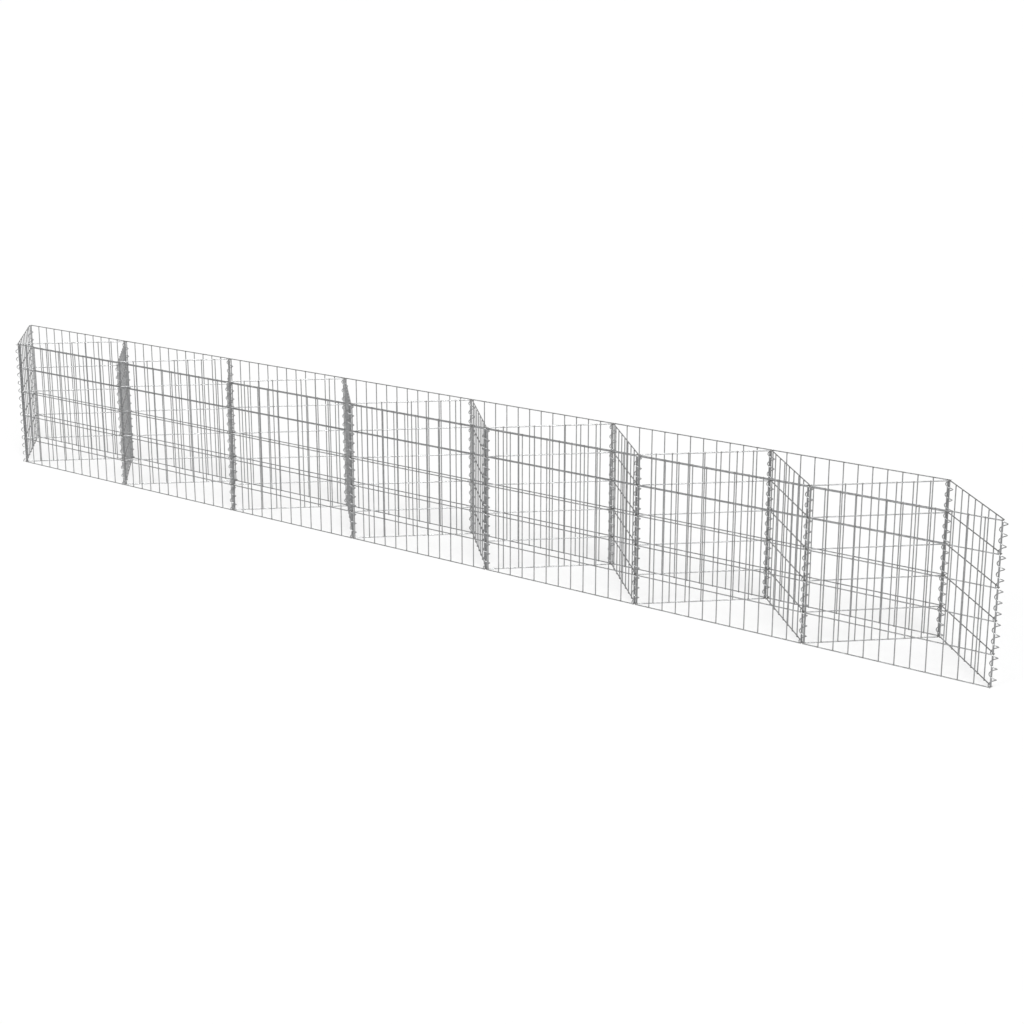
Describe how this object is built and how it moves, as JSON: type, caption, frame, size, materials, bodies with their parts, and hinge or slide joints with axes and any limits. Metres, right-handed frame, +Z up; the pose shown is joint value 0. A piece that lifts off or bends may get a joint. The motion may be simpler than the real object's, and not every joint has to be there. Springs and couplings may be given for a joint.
{
  "type": "gabion wall",
  "caption": "Long, low gabion wall of empty galvanised mesh cells: welded wire panels in a zigzag between two faces, laced at every joint by spiral binders.",
  "frame": {"origin": "centre of the wall's footprint, on the ground", "axes": "+X along the wall, +Y through it from front to back, +Z up"},
  "size_m": [4.5244, 0.3244, 0.49],
  "materials": {
    "mesh_wire": "galvanised, dull",
    "binder_wire": "galvanised, satin"
  },
  "bodies": {
    "root": {"front_panel_1": "mesh_wire", "front_panel_2": "mesh_wire", "front_panel_3": "mesh_wire", "front_panel_4": "mesh_wire", "front_panel_5": "mesh_wire", "front_panel_6": "mesh_wire", "front_panel_7": "mesh_wire", "back_panel_1": "mesh_wire", "back_panel_2": "mesh_wire", "back_panel_3": "mesh_wire", "back_panel_4": "mesh_wire", "back_panel_5": "mesh_wire", "back_panel_6": "mesh_wire", "back_panel_7": "mesh_wire", "end_panel_left": "mesh_wire", "end_panel_right": "mesh_wire", "cross_panel_1": "mesh_wire", "cross_panel_2": "mesh_wire", "cross_panel_3": "mesh_wire", "cross_panel_4": "mesh_wire", "cross_panel_5": "mesh_wire", "cross_panel_6": "mesh_wire", "brace_panel_1": "mesh_wire", "brace_panel_2": "mesh_wire", "brace_panel_3": "mesh_wire", "brace_panel_4": "mesh_wire", "brace_panel_5": "mesh_wire", "brace_panel_6": "mesh_wire", "brace_panel_7": "mesh_wire", "front_binder_1": "binder_wire", "front_binder_2": "binder_wire", "front_binder_3": "binder_wire", "front_binder_4": "binder_wire", "front_binder_5": "binder_wire", "front_binder_6": "binder_wire", "front_binder_7": "binder_wire", "front_binder_8": "binder_wire", "back_binder_1": "binder_wire", "back_binder_2": "binder_wire", "back_binder_3": "binder_wire", "back_binder_4": "binder_wire", "back_binder_5": "binder_wire", "back_binder_6": "binder_wire", "back_binder_7": "binder_wire", "back_binder_8": "binder_wire"}
  },
  "joints": []
}
